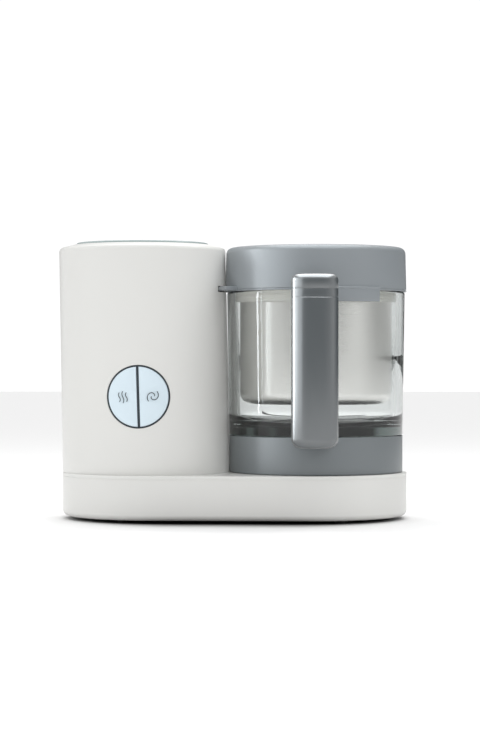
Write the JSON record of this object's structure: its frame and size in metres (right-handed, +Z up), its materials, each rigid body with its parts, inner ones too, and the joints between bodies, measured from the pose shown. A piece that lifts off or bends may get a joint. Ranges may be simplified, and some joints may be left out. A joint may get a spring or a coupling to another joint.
{
  "type": "baby food maker",
  "caption": "Steam tower and glass blending bowl with basket, blade, grey lid and upright handle, side by side on a low base with round ends.",
  "frame": {"origin": "bottom centre of the box round the whole object, on the surface its feet stand on", "axes": "+Z up, +X from the tower towards the bowl, +Y towards the back where the cable gland is"},
  "size_m": [0.3215, 0.2176, 0.2544],
  "materials": {
    "white": "satin white moulded plastic",
    "grey": "satin cool grey moulded plastic",
    "handle": "satin grey moulded plastic",
    "dark": "dark moulded plastic",
    "bezel": "dark slate moulded plastic",
    "button": "pale blue moulded plastic",
    "cream": "cream moulded plastic",
    "rubber": "black rubber",
    "seal": "translucent grey silicone",
    "glass": "clear thick glass",
    "basket": "warm brushed stainless steel",
    "blade": "ground stainless steel",
    "steel": "plain sheet steel",
    "screw": "zinc plated steel",
    "motor": "grey painted steel can",
    "brass": "sintered bronze",
    "board": "green circuit board"
  },
  "bodies": {
    "base": {"base_shell": "white", "bottom_cover": "dark", "foot_1": "rubber", "foot_2": "rubber", "foot_3": "rubber", "foot_4": "rubber", "cover_screw_1": "screw", "cover_screw_2": "screw", "cover_screw_3": "screw", "cover_screw_4": "screw", "tower_shell": "white", "tower_top": "white", "safety_switch": "dark", "tank_lid_pin": "screw", "boiler": "steel", "boiler_seal": "rubber", "boiler_heater": "steel", "thermostat": "dark", "steam_nozzle": "rubber", "steam_pipe": "rubber", "motor_can": "motor", "drive_belt": "rubber", "spindle_bush": "brass", "button_bezel": "bezel", "steam_switch": "dark", "blend_switch": "dark", "control_board": "board", "power_board": "board", "cable_gland": "rubber"},
    "motor_rotor": {"motor_shaft": "screw", "motor_pulley": "dark"},
    "drive": {"drive_pulley": "dark", "drive_spindle": "screw", "drive_coupling": "dark"},
    "steam_button": {"steam_button": "button"},
    "blend_button": {"blend_button": "button"},
    "tank_lid": {"tank_lid": "grey", "tank_lid_seal": "rubber"},
    "bowl": {"bowl_glass": "glass", "bowl_base_ring": "grey", "bowl_gasket": "rubber", "bowl_bearing": "grey", "bowl_lock_nut": "grey", "handle_grip": "handle", "handle_cap": "handle", "handle_screw": "screw", "handle_upper_arm": "handle", "handle_lower_arm": "handle"},
    "bowl_spindle": {"bowl_spindle": "screw", "driven_coupling": "dark"},
    "blade": {"blade": "blade", "blade_hub": "dark"},
    "basket": {"basket": "basket", "basket_rim": "cream"},
    "lid_seal": {"lid_seal": "seal"},
    "lid": {"lid_shell": "grey", "lid_liner": "white"}
  },
  "joints": [
    {"name": "motor_spin", "type": "hinge", "parent": "base", "child": "motor_rotor", "pos_m": [-0.0685, 0.01575, 0.02], "axis": [0, 0, 1], "continuous": true},
    {"name": "drive_spin", "type": "hinge", "parent": "base", "child": "drive", "pos_m": [0.077, 0.01575, 0.02], "axis": [0, 0, 1], "continuous": true},
    {"name": "steam_press", "type": "slide", "parent": "base", "child": "steam_button", "axis": [0, 1, 0], "range_m": [0, 0.002], "stiffness_N_per_m": 700, "springref_m": -0.001},
    {"name": "blend_press", "type": "slide", "parent": "base", "child": "blend_button", "axis": [0, 1, 0], "range_m": [0, 0.002], "stiffness_N_per_m": 700, "springref_m": -0.001},
    {"name": "tank_lid_hinge", "type": "hinge", "parent": "base", "child": "tank_lid", "pos_m": [-0.0837, 0.08125, 0.2512], "axis": [-1, 0, 0], "range_deg": [0, 95]},
    {"name": "bowl_lift", "type": "slide", "parent": "base", "child": "bowl", "axis": [0, 0, 1], "range_m": [0, 0.12]},
    {"name": "spindle_spin", "type": "hinge", "parent": "bowl", "child": "bowl_spindle", "pos_m": [0.077, 0.01575, 0.06], "axis": [0, 0, 1], "continuous": true},
    {"name": "blade_lift", "type": "slide", "parent": "bowl_spindle", "child": "blade", "axis": [0, 0, 1], "range_m": [0, 0.06]},
    {"name": "lid_lift", "type": "slide", "parent": "bowl", "child": "lid_seal", "axis": [0, 0, 1], "range_m": [0, 0.24]},
    {"name": "lid_twist", "type": "hinge", "parent": "lid_seal", "child": "lid", "pos_m": [0.077, 0.01575, 0.23], "axis": [0, 0, 1], "range_deg": [0, 30]},
    {"name": "basket_lift", "type": "slide", "parent": "bowl", "child": "basket", "axis": [0, 0, 1], "range_m": [0, 0.17]}
  ],
  "couplings": [
    {"joint": "drive_spin", "follows": "motor_spin", "ratio": 0.33333},
    {"joint": "spindle_spin", "follows": "motor_spin", "ratio": 0.33333},
    {"joint": "blade_lift", "follows": "lid_lift", "ratio": 0.2},
    {"joint": "basket_lift", "follows": "lid_lift", "ratio": 0.6666}
  ]
}
